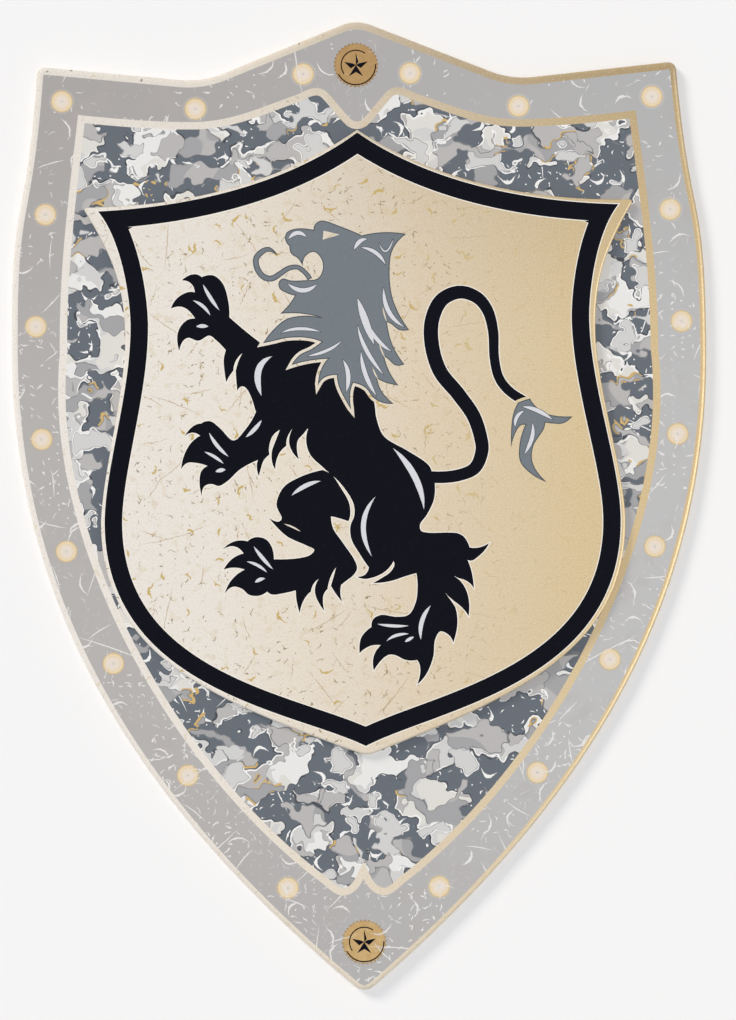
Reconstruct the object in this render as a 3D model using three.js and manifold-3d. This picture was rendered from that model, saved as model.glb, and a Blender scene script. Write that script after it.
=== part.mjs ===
// A toy knight's shield of two layers of fibreboard: a printed outer board, and a smaller printed
// plate glued flat on its front. It lies on its back on the ground plane. Millimetres, +Z up: the
// front faces +Z, the shield's top points along +Y, and the origin is under the middle of the board.

import * as THREE from "three";
import { mergeVertices } from "three/addons/utils/BufferGeometryUtils.js";
import Module from "manifold-3d";

// Layers
const BOARD_THICKNESS = 6;
const BOARD_ROUND = 2.2; // radius of the rounded edge, front and back
const PLATE_THICKNESS = 4;
const PLATE_ROUND = 1.2; // radius of the rounded front edge

// Outer board, right half. Its middle height is y = 0.
const BOARD_TOP = 240;
const BOARD_TIP = -240;
const PEAK_SLOPE = 21.7; // degrees below level, either side of the peak
const PEAK_RADIUS = 20;
const VALLEY_X = 76.6; // where the slope from the peak meets the shoulder
const VALLEY_RADIUS = 46;
const SHOULDER_SLOPE = 5.8; // degrees above level, towards the corner
const CORNER_X = 158.2;
const CORNER_RADIUS = 4;
const CORNER_LEAN = 4.7; // degrees that the side leans out below the corner
const WIDEST_X = 172.3;
const WIDEST_Y = 77;
const UPPER_PULL = 85; // how far the side keeps its direction below the corner
const WIDEST_PULL_UP = 82;
const WIDEST_PULL_DOWN = 129;
const TIP_SLOPE = 40.4; // degrees between the lower side and level, at the tip
const TIP_PULL = 137;
const TIP_RADIUS = 7.5;

// Inner plate, right half, from the same middle height
const PLATE_TOP = 186.4;
const PLATE_TOP_SLOPE = 34; // degrees below level at its peak
const PLATE_TOP_PULL = 50;
const PLATE_CORNER_X = 136.6;
const PLATE_CORNER_Y = 149.9;
const PLATE_CORNER_PULL = 47;
const PLATE_CORNER_RADIUS = 1.3;
const PLATE_FLANK_SLOPE = 59.4; // degrees below level, in from the corner
const PLATE_FLANK_PULL = 29;
const WAIST_X = 116.5;
const WAIST_Y = 85;
const WAIST_PULL = 26;
const HIP_X = 129.9;
const HIP_Y = -8;
const HIP_PULL_UP = 22;
const HIP_PULL_DOWN = 66;
const PLATE_TIP = -123;
const PLATE_TIP_SLOPE = 21; // degrees between the lower side and level, at the tip
const PLATE_TIP_PULL = 73;
const PLATE_TIP_RADIUS = 12;

// The plate is glued on by hand, a little askew
const PLATE_TURN = 0.4; // degrees anticlockwise, seen from the front
const PLATE_SHIFT_X = 1.1;
const PLATE_TURN_CENTRE_Y = 32;

// Smoothness
const STEP_LENGTH = 7;
const STEP_DEGREES = 7;
const ROUND_STEPS = 4; // in the height of a rounded edge

const wasm = await Module();
wasm.setup();

const radians = THREE.MathUtils.degToRad;

function point(x, y) {
  return new THREE.Vector2(x, y);
}

// The point a given distance from another, in a direction given in degrees from +X.
function along(from, distance, degrees) {
  return point(
    from.x + distance * Math.cos(radians(degrees)),
    from.y + distance * Math.sin(radians(degrees)),
  );
}

// Carries a path on to a corner and rounds it with an arc that leaves towards the next point.
function roundCorner(path, corner, next, radius) {
  const back = path.currentPoint.clone().sub(corner).normalize();
  const on = next.clone().sub(corner).normalize();
  const half = Math.acos(back.dot(on)) / 2;
  const run = radius / Math.tan(half);
  const middle = back.clone().add(on).setLength(radius / Math.sin(half)).add(corner);
  const start = back.clone().multiplyScalar(run).add(corner);
  const end = on.clone().multiplyScalar(run).add(corner);
  const startAngle = start.clone().sub(middle).angle();
  const endAngle = end.clone().sub(middle).angle();
  path.lineTo(start.x, start.y);
  path.absarc(middle.x, middle.y, radius, startAngle, endAngle, back.cross(on) > 0);
}

// A cubic curve on to an end point, shaped by two pulls.
function curveTo(path, pullStart, pullEnd, end) {
  path.bezierCurveTo(pullStart.x, pullStart.y, pullEnd.x, pullEnd.y, end.x, end.y);
}

// The half arc that rounds a point on the axis. It starts on the axis and leaves down a slope.
function roundOnAxis(path, y, slope, radius) {
  const lean = radians(slope);
  path.moveTo(0, y);
  path.absarc(0, y - radius, radius, Math.PI / 2, Math.PI / 2 - lean, true);
}

// Where the arc that rounds the tip begins: it ends on the axis, at the tip.
function tipStart(y, slope, radius) {
  return along(point(0, y + radius), radius, slope - 90);
}

function roundTip(path, y, slope, radius) {
  path.absarc(0, y + radius, radius, radians(slope - 90), -Math.PI / 2, true);
}

function boardHalf() {
  const half = new THREE.Path();
  roundOnAxis(half, BOARD_TOP, PEAK_SLOPE, PEAK_RADIUS);
  const peakEnd = half.currentPoint.clone();
  const valleyY = peakEnd.y - (VALLEY_X - peakEnd.x) * Math.tan(radians(PEAK_SLOPE));
  const valley = point(VALLEY_X, valleyY);
  const shoulderRise = (CORNER_X - VALLEY_X) * Math.tan(radians(SHOULDER_SLOPE));
  const corner = point(CORNER_X, valleyY + shoulderRise);
  roundCorner(half, valley, corner, VALLEY_RADIUS);
  const upperPull = along(corner, UPPER_PULL, CORNER_LEAN - 90);
  roundCorner(half, corner, upperPull, CORNER_RADIUS);
  const widest = point(WIDEST_X, WIDEST_Y);
  curveTo(half, upperPull, along(widest, WIDEST_PULL_UP, 90), widest);
  const tip = tipStart(BOARD_TIP, TIP_SLOPE, TIP_RADIUS);
  curveTo(half, along(widest, WIDEST_PULL_DOWN, -90), along(tip, TIP_PULL, TIP_SLOPE), tip);
  roundTip(half, BOARD_TIP, TIP_SLOPE, TIP_RADIUS);
  return half;
}

function plateHalf() {
  const half = new THREE.Path();
  const top = point(0, PLATE_TOP);
  const corner = point(PLATE_CORNER_X, PLATE_CORNER_Y);
  half.moveTo(top.x, top.y);
  const cornerPull = along(corner, PLATE_CORNER_PULL, 180);
  const edgeEnd = along(corner, 3 * PLATE_CORNER_RADIUS, 180);
  curveTo(half, along(top, PLATE_TOP_PULL, -PLATE_TOP_SLOPE), cornerPull, edgeEnd);
  const flankPull = along(corner, PLATE_FLANK_PULL, PLATE_FLANK_SLOPE - 180);
  roundCorner(half, corner, flankPull, PLATE_CORNER_RADIUS);
  const waist = point(WAIST_X, WAIST_Y);
  curveTo(half, flankPull, along(waist, WAIST_PULL, 90), waist);
  const hip = point(HIP_X, HIP_Y);
  curveTo(half, along(waist, WAIST_PULL, -90), along(hip, HIP_PULL_UP, 90), hip);
  const tip = tipStart(PLATE_TIP, PLATE_TIP_SLOPE, PLATE_TIP_RADIUS);
  curveTo(half, along(hip, HIP_PULL_DOWN, -90), along(tip, PLATE_TIP_PULL, PLATE_TIP_SLOPE), tip);
  roundTip(half, PLATE_TIP, PLATE_TIP_SLOPE, PLATE_TIP_RADIUS);
  return half;
}

// How many straight steps stand for a curve: by its length or by its turn, whichever gives more.
function stepsOf(curve) {
  if (curve.isLineCurve) return 1;
  const turn = curve.getTangent(0).angleTo(curve.getTangent(1));
  const byTurn = THREE.MathUtils.radToDeg(turn) / STEP_DEGREES;
  return Math.ceil(Math.max(curve.getLength() / STEP_LENGTH, byTurn));
}

// The whole outline, anticlockwise: the half from the top to the tip, and its mirror image.
function outlineOf(half) {
  const down = half.curves.flatMap((curve) => curve.getPoints(stepsOf(curve)).slice(0, -1));
  down.push(half.currentPoint.clone());
  const onAxis = (p) => Math.abs(p.x) < 1e-6;
  const mirror = down.filter((p) => !onAxis(p)).map((p) => point(-p.x, p.y));
  return [...mirror, ...down.reverse()];
}

function turned(outline) {
  const centre = point(0, PLATE_TURN_CENTRE_Y);
  const shift = point(PLATE_SHIFT_X, 0);
  return outline.map((p) => p.clone().rotateAround(centre, radians(PLATE_TURN)).add(shift));
}

// A sheet cut to an outline, with rounded front and back edges, its back on z = 0.
function roundedSheet(outline, thickness, round) {
  const sheet = new THREE.ExtrudeGeometry(new THREE.Shape(outline), {
    depth: thickness - 2 * round,
    bevelThickness: round,
    bevelSize: round,
    bevelOffset: -round,
    bevelSegments: ROUND_STEPS,
  });
  return sheet.translate(0, 0, round);
}

function solidOf(geometry) {
  const bare = geometry.clone();
  bare.deleteAttribute("normal");
  bare.deleteAttribute("uv");
  const merged = mergeVertices(bare, 1e-3);
  return new wasm.Manifold(
    new wasm.Mesh({
      numProp: 3,
      vertProperties: merged.attributes.position.array,
      triVerts: new Uint32Array(merged.index.array),
    }),
  );
}

function geometryOf(solid) {
  const mesh = solid.getMesh();
  const geometry = new THREE.BufferGeometry();
  geometry.setAttribute("position", new THREE.BufferAttribute(mesh.vertProperties, 3));
  geometry.setIndex(new THREE.BufferAttribute(mesh.triVerts, 1));
  return geometry;
}

// The outer board: both its edges are rounded over.
function outerBoard() {
  const geometry = roundedSheet(outlineOf(boardHalf()), BOARD_THICKNESS, BOARD_ROUND);
  const finish = new THREE.MeshStandardMaterial({
    color: 0xb6b4b4,
    roughness: 0.55,
    metalness: 0.05,
  });
  const board = new THREE.Mesh(geometry, finish);
  board.name = "outer_board";
  return board;
}

// The inner plate: a sheet with both edges rounded, cut flat just above the rounded back edge, so
// that it meets the board with a square edge.
function innerPlate() {
  const cut = PLATE_ROUND + 1;
  const sheet = roundedSheet(turned(outlineOf(plateHalf())), PLATE_THICKNESS + cut, PLATE_ROUND);
  const below = new THREE.BoxGeometry(2 * BOARD_TOP, 2 * BOARD_TOP, 2 * cut);
  const plateSolid = solidOf(sheet).subtract(solidOf(below));
  const finish = new THREE.MeshStandardMaterial({
    color: 0xe2d3b8,
    roughness: 0.4,
    metalness: 0.3,
  });
  const plate = new THREE.Mesh(geometryOf(plateSolid), finish);
  plate.position.z = BOARD_THICKNESS - cut;
  plate.name = "inner_plate";
  return plate;
}

const shield = new THREE.Group();
shield.add(outerBoard(), innerPlate());

export default shield;
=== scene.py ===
import math

import bmesh
import bpy
import numpy as np
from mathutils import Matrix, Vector
from mathutils.geometry import delaunay_2d_cdt


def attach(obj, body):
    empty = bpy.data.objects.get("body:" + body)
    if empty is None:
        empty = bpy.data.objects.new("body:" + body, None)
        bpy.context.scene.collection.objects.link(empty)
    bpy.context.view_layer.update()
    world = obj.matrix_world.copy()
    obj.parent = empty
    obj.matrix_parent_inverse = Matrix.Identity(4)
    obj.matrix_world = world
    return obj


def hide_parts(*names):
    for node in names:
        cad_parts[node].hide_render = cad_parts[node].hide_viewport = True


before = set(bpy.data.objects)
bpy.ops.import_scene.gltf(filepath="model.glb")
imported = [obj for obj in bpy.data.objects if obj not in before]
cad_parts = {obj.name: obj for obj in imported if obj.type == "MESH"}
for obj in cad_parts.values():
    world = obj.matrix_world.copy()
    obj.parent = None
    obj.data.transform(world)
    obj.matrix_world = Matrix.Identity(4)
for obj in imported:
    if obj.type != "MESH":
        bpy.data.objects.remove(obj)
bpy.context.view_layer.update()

# The outer board's outline
# A sheet of 6 mm fibreboard, sawn to a shield with a peaked top, square shoulders and a pointed
# tip. Arcs and cubic curves on the right half are mirrored for the left half.
BOARD_THICKNESS = 6.0
BOARD_ROUND = 2.2
BOARD_TOP = 240.0
BOARD_TIP = -240.0
PEAK_SLOPE = 21.7  # degrees below level
PEAK_RADIUS = 20.0
VALLEY_X = 76.6
VALLEY_RADIUS = 46.0
SHOULDER_SLOPE = 5.8  # degrees above level
CORNER_X = 158.2
CORNER_RADIUS = 4.0
CORNER_LEAN = 4.7  # degrees off upright
WIDEST = 172.3 + 77j
UPPER_PULL = 85.0
WIDEST_PULL_UP = 82.0
WIDEST_PULL_DOWN = 129.0
TIP_SLOPE = 40.4  # degrees off level
TIP_PULL = 137.0
TIP_RADIUS = 7.5
OUTLINE_STEP = 1.6


def along(start, distance, degrees):
    """The point at a distance from another: start + distance (cos a + i sin a)."""
    return start + distance * np.exp(1j * math.radians(degrees))


def arc(centre, radius, start, end, step=OUTLINE_STEP):
    """Points on a circle between two angles in degrees: centre + radius (cos a + i sin a)."""
    length = radius * math.radians(abs(end - start))
    steps = 2 + int(max(length / step, abs(end - start) / 8))
    return centre + radius * np.exp(1j * np.radians(np.linspace(start, end, steps)))


def cubic(start, pull_start, pull_end, end, step=OUTLINE_STEP):
    """A cubic curve: (1-t)^3 a + 3 (1-t)^2 t b + 3 (1-t) t^2 c + t^3 d, for t from 0 to 1."""
    length = abs(pull_start - start) + abs(pull_end - pull_start) + abs(end - pull_end)
    t = np.linspace(0, 1, 2 + int(length / step))
    s = 1 - t
    return s**3 * start + 3 * s * s * t * pull_start + 3 * s * t * t * pull_end + t**3 * end


def round_corner(before, corner, after, radius):
    """The arc that rounds a corner: it touches both sides at radius / tan(half the angle)."""
    back = (before - corner) / abs(before - corner)
    ahead = (after - corner) / abs(after - corner)
    half = math.acos((back * ahead.conjugate()).real) / 2
    centre = corner + (back + ahead) / abs(back + ahead) * radius / math.sin(half)
    start = np.degrees(np.angle(corner + back * radius / math.tan(half) - centre))
    turn = np.degrees(np.angle((corner + ahead * radius / math.tan(half) - centre)
                               / (corner + back * radius / math.tan(half) - centre)))
    return arc(centre, radius, start, start + turn)


def joined(*runs):
    """One run of points made of several, without points that repeat the one before."""
    line = np.concatenate([np.atleast_1d(run) for run in runs]).astype(complex)
    keep = np.append(True, abs(np.diff(line)) > 1e-3)
    return line[keep]


def mirrored(half):
    """A closed outline, anticlockwise: the left half from the top to the tip, then the right."""
    return joined(-half.conjugate(), half[::-1])[:-1]


def board_outline():
    """Peak arc, valley arc, corner arc, two cubic curves to the tip, and the tip's arc."""
    peak = arc(1j * (BOARD_TOP - PEAK_RADIUS), PEAK_RADIUS, 90, 90 - PEAK_SLOPE)
    fall = (VALLEY_X - peak[-1].real) * math.tan(math.radians(PEAK_SLOPE))
    valley = VALLEY_X + 1j * (peak[-1].imag - fall)
    corner = valley + (CORNER_X - VALLEY_X) * (1 + 1j * math.tan(math.radians(SHOULDER_SLOPE)))
    upper_pull = along(corner, UPPER_PULL, CORNER_LEAN - 90)
    valley_arc = round_corner(peak[-1], valley, corner, VALLEY_RADIUS)
    corner_arc = round_corner(valley, corner, upper_pull, CORNER_RADIUS)
    upper = cubic(corner_arc[-1], upper_pull, along(WIDEST, WIDEST_PULL_UP, 90), WIDEST)
    tip_centre = 1j * (BOARD_TIP + TIP_RADIUS)
    tip = arc(tip_centre, TIP_RADIUS, TIP_SLOPE - 90, -90)
    tip_pull = along(tip[0], TIP_PULL, TIP_SLOPE)
    lower = cubic(WIDEST, along(WIDEST, WIDEST_PULL_DOWN, -90), tip_pull, tip[0])
    straight = np.linspace(peak[-1], valley_arc[0], 30)
    shoulder = np.linspace(valley_arc[-1], corner_arc[0], 40)
    return mirrored(joined(peak, straight, valley_arc, shoulder, corner_arc, upper, lower, tip))


def anticlockwise(contour):
    """A closed contour, turned round where its area, half the sum of cross products, is below 0."""
    area = (contour.conjugate() * np.roll(contour, -1)).imag.sum()
    return contour if area > 0 else contour[::-1]


def moved_in(contour, distance):
    """An anticlockwise contour moved in: each point by the sum of its sides' unit normals, times
    twice the distance over the sum's length squared, and never over three times the distance."""
    side = np.roll(contour, -1) - contour
    normal = 1j * side / abs(side)
    both = normal + np.roll(normal, 1)
    return contour + 2 * distance * both / np.maximum(abs(both) ** 2, 0.67 * abs(both))


def inset(contour, distance):
    """A contour moved in, or out below 0, without the points that come nearer to another side."""
    moved = moved_in(contour, distance)
    side = np.roll(contour, -1) - contour
    away = moved[:, None] - contour
    share = np.clip((away * side.conjugate()).real / abs(side) ** 2, 0, 1)
    return moved[abs(away - share * side).min(1) > 0.97 * abs(distance)]


# The grey print on the rim
# The board is foiled all over and then printed in grey, short of its rounded edge and a little low,
# so that a strip of foil shows round it. Play has left it with white scratches.
GREY_MARGIN = 3.1
GREY_DROP = 0.6
GREY_TIP = (-6 - 233.6j, -238.3j, 6 - 233.6j)  # sharper than the board's own tip
METRE = 1000.0  # millimetres
COLOUR_DEPTH = 255.0
INK_GRAIN = 0.9
SHAKE_CLOUD = 1.6  # the noise that makes a stroke ragged
SHAKE_LAYER = 70

board_edge = board_outline()
board_coats = [
    (inset(board_edge, GREY_MARGIN) - 1j * GREY_DROP, "grey"),
    (np.array(GREY_TIP), "grey"),
]


def colour(red, green, blue):
    """A screen colour from 0 to 255 as the linear colour that a shader takes."""
    parts = np.array([red, green, blue]) / COLOUR_DEPTH
    linear = np.where(parts < 0.04045, parts / 12.92, ((parts + 0.055) / 1.055) ** 2.4)
    return (*linear.tolist(), 1.0)


class Shade:
    """What one shader node gives: a value or colour that varies. Operators add Math nodes."""

    def __init__(self, socket):
        self.socket = socket

    def output(self, name):
        return Shade(self.socket.node.outputs[name])

    def maths(self, operation, *others):
        tree = self.socket.id_data
        return add_node(tree, "ShaderNodeMath", {"operation": operation}, (self, *others))

    def __add__(self, other):
        return self.maths("ADD", other)

    def __sub__(self, other):
        return self.maths("SUBTRACT", other)

    def __rsub__(self, other):
        settings = {"operation": "SUBTRACT"}
        return add_node(self.socket.id_data, "ShaderNodeMath", settings, (other, self))

    def __mul__(self, other):
        return self.maths("MULTIPLY", other)

    def __truediv__(self, other):
        return self.maths("DIVIDE", other)

    def __gt__(self, limit):
        return self.maths("GREATER_THAN", limit)

    def __lt__(self, limit):
        return self.maths("LESS_THAN", limit)

    __radd__ = __add__
    __rmul__ = __mul__


def add_node(tree, kind, settings=None, inputs=(), output=0):
    """A shader node: its type, its settings (a ramp's stops among them), then its sockets."""
    node = tree.nodes.new(kind)
    for name, value in (settings or {}).items():
        if name == "stops":
            elements = node.color_ramp.elements
            while len(elements) < len(value):
                elements.new(1.0)
            for element, (position, shade) in zip(elements, value):
                element.position = position
                element.color = shade
        else:
            setattr(node, name, value)
    places = inputs.items() if isinstance(inputs, dict) else enumerate(inputs)
    for place, value in places:
        if isinstance(value, Shade):
            tree.links.new(value.socket, node.inputs[place])
        else:
            node.inputs[place].default_value = value
    return Shade(node.outputs[output])


class Finish:
    """One material, with the place on the object in millimetres as x, y and z."""

    def __init__(self, name):
        self.material = bpy.data.materials.new(name)
        self.material.use_nodes = True
        self.tree = self.material.node_tree
        self.tree.nodes.clear()
        place = self.node("ShaderNodeTexCoord").output("Object")
        parts = self.node("ShaderNodeSeparateXYZ", inputs=(place,))
        self.x, self.y, self.z = (parts.output(axis) * METRE for axis in "XYZ")

    def node(self, kind, settings=None, inputs=(), output=0):
        return add_node(self.tree, kind, settings, inputs, output)

    def spot(self, x, y, z):
        return self.node("ShaderNodeCombineXYZ", inputs=(x, y, z))

    def noise(self, size, x=None, y=None, layer=0.0, detail=0.0):
        """Cloudy noise from 0 to 1, whose clouds are about as large as the size in millimetres."""
        spot = self.spot(self.x if x is None else x, self.y if y is None else y, self.z + layer)
        inputs = {"Vector": spot, "Scale": 1.0 / size, "Detail": detail}
        return self.node("ShaderNodeTexNoise", inputs=inputs)

    def channels(self, clouds):
        """The red, green and blue of a noise's colour, which are three separate chances."""
        parts = self.node("ShaderNodeSeparateColor", inputs=(clouds.output("Color"),))
        return [parts.output(channel) for channel in ("Red", "Green", "Blue")]

    def shaken(self, x, y, reach, size, layer):
        """A place moved along x and y by cloudy noise, by half the reach at most."""
        east, north, _ = self.channels(self.noise(size, x, y, layer, detail=1))
        return x + (east - 0.5) * reach, y + (north - 0.5) * reach

    def mix(self, share, first, second):
        """The first colour where the share is 0, and the second where it is 1."""
        return self.node("ShaderNodeMix", {"data_type": "RGBA"}, {0: share, 6: first, 7: second}, 2)

    def blend(self, value, low, high):
        """0 below one limit and 1 above the other, smooth between them."""
        settings = {"interpolation_type": "SMOOTHSTEP"}
        return self.node("ShaderNodeMapRange", settings, {0: value, 1: low, 2: high})

    def ramp(self, value, stops):
        return self.node("ShaderNodeValToRGB", {"stops": stops}, (value,))

    def surface(self, **inputs):
        """The finished material, with the values or shades of its surface by name."""
        named = {name.replace("_", " "): value for name, value in inputs.items()}
        shader = self.node("ShaderNodeBsdfPrincipled", inputs=named)
        output = self.tree.nodes.new("ShaderNodeOutputMaterial")
        self.tree.links.new(shader.socket, output.inputs["Surface"])
        return self.material

    def bump(self, grain, strength, depth=0.1):
        """A grain that stands up by a depth in millimetres."""
        inputs = {"Strength": strength, "Distance": depth / METRE, "Height": grain}
        return self.node("ShaderNodeBump", inputs=inputs)

    def print_surface(self, tone, roughness):
        """Ink whose fine grain stands up a little and varies how rough it is."""
        grain = self.noise(INK_GRAIN, detail=3)
        rough = roughness + (grain - 0.5) * 0.1
        return self.surface(Base_Color=tone, Roughness=rough, Normal=self.bump(grain, 0.05))

    def strokes(self, kinds, density=1.0):
        """1 inside a stroke of any of several kinds, 0 outside. A density thins them all out."""
        return self.either(*[self.stroke_kind(density, *kind) for kind in kinds])

    def stroke_kind(self, density, cell, length, width, bend, share, layer, ragged):
        """Short bent strokes, one to a square cell at random: 1 inside a stroke, 0 outside.
        Along the stroke u, its middle line is at v = bend u^2, and its width falls to its ends.
        Ragged strokes are drawn on a place that fine noise has shaken by that many millimetres."""
        x, y = self.x, self.y
        if ragged:
            x, y = self.shaken(x, y, 2 * ragged, SHAKE_CLOUD, layer + SHAKE_LAYER)
        column = (x / cell).maths("FLOOR")
        row = (y / cell).maths("FLOOR")
        chance = self.node("ShaderNodeTexWhiteNoise", inputs=(self.spot(column, row, layer),))
        first, second, third = self.channels(chance)
        play = cell - length
        across = x - (column + 0.5) * cell - (first - 0.5) * play
        up = y - (row + 0.5) * cell - (second - 0.5) * play
        angle = third * (2 * math.pi)
        u = across * angle.maths("COSINE") + up * angle.maths("SINE")
        v = up * angle.maths("COSINE") - across * angle.maths("SINE")
        ends = u / (length / 2)
        middle = v - u * u * bend + bend * length * length / 12
        room = (1 - ends * ends) * (width / 2)
        return (middle.maths("ABSOLUTE") < room) * (chance.output("Value") < density * share)

    def either(self, *masks):
        """1 where any of the masks is 1."""
        whole = masks[0]
        for mask in masks[1:]:
            whole = whole.maths("MAXIMUM", mask)
        return whole


# The grey ink's colours, lighter on the right and darker at the top: painted light and shade
GREY_LEFT = colour(180, 177, 175)
GREY_RIGHT = colour(190, 190, 190)
GREY_TOP_LEFT = colour(169, 165, 163)
GREY_TOP_RIGHT = colour(178, 178, 178)
GREY_WARM = colour(178, 171, 168)
SCRATCH_WHITE = colour(232, 230, 228)
HALF_WIDTH = WIDEST.real
# Here and below, a kind of stroke is its cell, length, width, bend, share of the cells, layer of
# chance and raggedness.
SHORT_SCRATCHES = [
    (5.3, 2.8, 0.6, 0.14, 0.6, 3, 0.9),
    (7, 4.6, 0.6, -0.1, 0.55, 5, 0.8),
    (4.3, 1, 0.9, 0, 0.4, 9, 0.2),
]
LONG_SCRATCHES = [
    (21, 9.5, 1.1, 0.12, 0.6, 11, 0.7),
    (25, 12, 0.9, -0.08, 0.7, 12, 0.6),
    (50, 38, 0.6, 0.0015, 0.9, 13, 0.2),
    (23, 15, 0.55, 0.01, 0.7, 14, 0.3),
]


def shaded(finish, left, right):
    """One colour at the board's left edge, which turns into another towards its right edge."""
    return finish.mix(finish.blend(finish.x, -HALF_WIDTH, HALF_WIDTH), left, right)


def scratched(finish, tone, share):
    """White scratches over a colour: ticks and hooks, in patches, and longer ones, all of them
    denser to the foot."""
    foot = finish.blend(finish.y, 190, -120) * 0.65 + 0.35
    worn = finish.blend(finish.noise(38, layer=31), 0.36, 0.58)
    short = finish.strokes(SHORT_SCRATCHES, foot) * (worn * 0.8 + 0.2)
    marks = finish.either(short, finish.strokes(LONG_SCRATCHES, foot))
    return finish.mix(marks * share, tone, SCRATCH_WHITE)


def grey_finish():
    """Grey ink: lighter to the right in painted light, darker to the top in painted shade and to the
    foot, with warm clouds and white scratches.
    """
    finish = Finish("grey_print")
    # Painted shade darkens the grey towards the top; it is also darker towards the foot
    ends = finish.either(finish.blend(finish.y, 10, 225), finish.blend(finish.y, -90, -225) * 0.6)
    # Painted light: the grey is lighter on the right
    tone = shaded(finish, GREY_LEFT, GREY_RIGHT)
    tone = finish.mix(ends, tone, shaded(finish, GREY_TOP_LEFT, GREY_TOP_RIGHT))
    clouds = finish.blend(finish.noise(14, detail=2), 0.5, 0.75)
    tone = finish.mix(clouds * 0.35, tone, GREY_WARM)
    return finish.print_surface(scratched(finish, tone, 0.9), 0.5)


# The foil
# Hot-stamped foil covers both boards, edges and all. Its run from pearl on the left to pale gold on
# the right is a painted reflection, and its dimming towards the top and along the top right edge is
# painted shade. It has a grain of flecks, ticks, golden hooks and hair lines.
# Foil gold along x, turned pearl towards the left: a painted reflection
FOIL_TONE_AND_SHEEN_STOPS = [
    (-172, (242, 237, 230)),
    (-75, (240, 233, 223)),
    (-30, (236, 226, 210)),
    (0, (232, 220, 201)),
    (30, (228, 212, 186)),
    (65, (225, 206, 173)),
    (105, (222, 200, 158)),
    (172, (218, 191, 142)),
]
# The colour of the painted shade on the foil
FOIL_SHADE_PAINTED = colour(150, 128, 92)
FOIL_FLECK = colour(176, 154, 118)
FOIL_SPARK = colour(252, 246, 232)
FOIL_TICK = colour(148, 126, 88)
FOIL_HOOK = colour(206, 180, 116)
FOIL_CRACK = colour(184, 156, 112)
FOIL_CHIP = colour(112, 98, 86)
TICKS = [
    (5.3, 2.5, 0.5, 0.3, 0.34, 21, 0.9),
    (8.1, 4.6, 0.5, 0.16, 0.5, 22, 1.3),
    (3.7, 0.8, 0.65, 0, 0.16, 26, 0.2),
]
HOOKS = [
    (23, 8, 1.5, 0.15, 0.5, 23, 1.3),
    (15, 5, 1.1, -0.22, 0.5, 25, 1.2),
]
CRACKS = [
    (37, 28, 0.4, 0.003, 0.8, 24, 0.5),
    (23, 14, 0.4, -0.014, 0.8, 27, 0.9),
]
CHIPS = [(6, 1.6, 0.9, 0.2, 0.4, 71, 0.7)]


def foil_finish(name, marks):
    """Foil whose colour runs along x, from pearl to gold as a painted reflection, and dims towards the
    top and the top right edge as painted shade. Its marks are as strong as the share from 0 to 1
    says, and fade to the right. Dark chips lie along the top left edge alone."""
    finish = Finish(name)
    # Painted reflection: pearl on the left running into gold on the right
    stops = [((x + HALF_WIDTH) / (2 * HALF_WIDTH), colour(*tone)) for x, tone in FOIL_TONE_AND_SHEEN_STOPS]
    tone = finish.ramp((finish.x + HALF_WIDTH) / (2 * HALF_WIDTH), stops)
    # Painted shade: the foil is dimmed towards the top, more on the right
    height = finish.blend(finish.y, 60, 250)
    tone = finish.mix(height * (finish.blend(finish.x, -90, 150) * 0.4 + 0.1), tone, FOIL_SHADE_PAINTED)
    # Painted shade along the top right edge
    top_right_shade = finish.blend(finish.y, 202, 212) * finish.blend(finish.x, -60, 60)
    tone = finish.mix(top_right_shade * 0.33, tone, FOIL_SHADE_PAINTED)
    grain = finish.noise(0.8, detail=3, layer=2)
    tone = finish.mix(finish.blend(grain, 0.53, 0.72) * 0.3, tone, FOIL_FLECK)
    tone = finish.mix(finish.blend(grain, 0.46, 0.3) * 0.25, tone, FOIL_SPARK)
    fade = 1 - finish.blend(finish.x, 10, 90) * 0.8
    stain = finish.blend(finish.noise(4, layer=29, detail=2), 0.55, 0.7)
    tone = finish.mix(stain * fade * (0.22 * marks), tone, FOIL_HOOK)
    worn = finish.blend(finish.noise(13, layer=28), 0.36, 0.56) * 0.8 + 0.2
    tone = finish.mix(finish.strokes(TICKS) * worn * fade * (0.85 * marks), tone, FOIL_TICK)
    tone = finish.mix(finish.strokes(HOOKS) * fade * marks, tone, FOIL_HOOK)
    tone = finish.mix(finish.strokes(CRACKS) * fade * (0.7 * marks), tone, FOIL_CRACK)
    top_left = finish.blend(finish.y, 188, 212) * finish.blend(finish.x, 10, -40)
    tone = finish.mix(finish.strokes(CHIPS) * top_left * 0.8, tone, FOIL_CHIP)
    rough = 0.42 + (grain - 0.5) * 0.16
    bump = finish.bump(grain, 0.08)
    return finish.surface(Base_Color=tone, Roughness=rough, Metallic=0.12, Normal=bump)


# The frame line
# A line of bare foil between the grey rim and the camouflage. It follows the rim, with a rounded
# valley between two humps under the top stud, and a cusp between two lobes above the bottom one.
LINE_WIDTH = 3.7
LINE_TOP = 190.6j
LINE_CURVES = [  # two pulls and an end for each curve down the right half
    (2.4 + 190.6j, 4 + 192.8j, 5.5 + 194.6j),
    (8 + 197.5j, 10.6 + 200.6j, 13.2 + 203.6j),
    (15.4 + 206.2j, 17.2 + 207.6j, 20.3 + 207.5j),
    (24.4 + 207.3j, 26.8 + 205.3j, 30 + 204.1j),
    (50 + 197.2j, 62 + 191.5j, 80 + 191.1j),
    (100 + 191.1j, 120 + 193j, 138.3 + 195.1j),
    (144.1 + 148.7j, 148.4 + 117.4j, 148.4 + 76.4j),
    (158.1 - 16.4j, 94.6 - 131j, 19.8 - 187.4j),
    (16.2 - 190.7j, 13.3 - 193.1j, 10.4 - 193.1j),
    (5.6 - 193.1j, 2.1 - 189.5j, -184.8j),
]


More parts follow.
